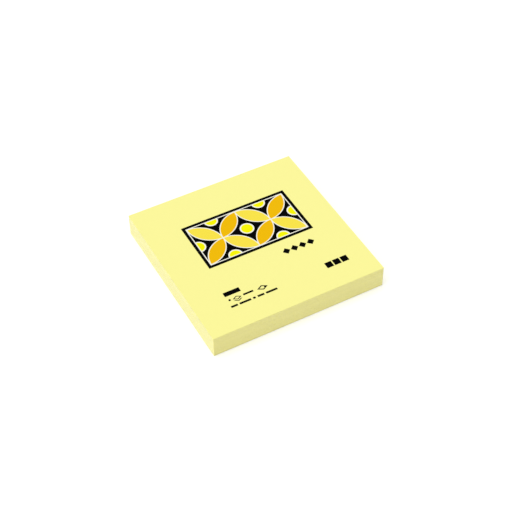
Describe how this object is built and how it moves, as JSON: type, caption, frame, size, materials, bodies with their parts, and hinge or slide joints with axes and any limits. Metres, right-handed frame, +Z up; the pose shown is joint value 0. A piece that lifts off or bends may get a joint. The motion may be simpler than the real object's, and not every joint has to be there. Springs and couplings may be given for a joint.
{
  "type": "sticky note pad",
  "caption": "Square pad of yellow repositionable paper notes with a printed cover sheet, glued along its head edge, for writing and sticking up short notes.",
  "frame": {"origin": "middle of the underside, on the surface that the pad lies on", "axes": "+X to the reader's right, +Y from the foot towards the glued head edge, +Z up through the cover sheet"},
  "size_m": [0.076, 0.076, 0.01],
  "materials": {
    "cover_paper": "matte",
    "note_paper": "matte",
    "backing_paper": "satin",
    "adhesive": "satin"
  },
  "bodies": {
    "root": {"cover_sheet": "cover_paper", "cover_adhesive_strip": "adhesive", "note_sheets": "note_paper", "last_note_adhesive_strip": "adhesive", "backing_sheet": "backing_paper"}
  },
  "joints": []
}
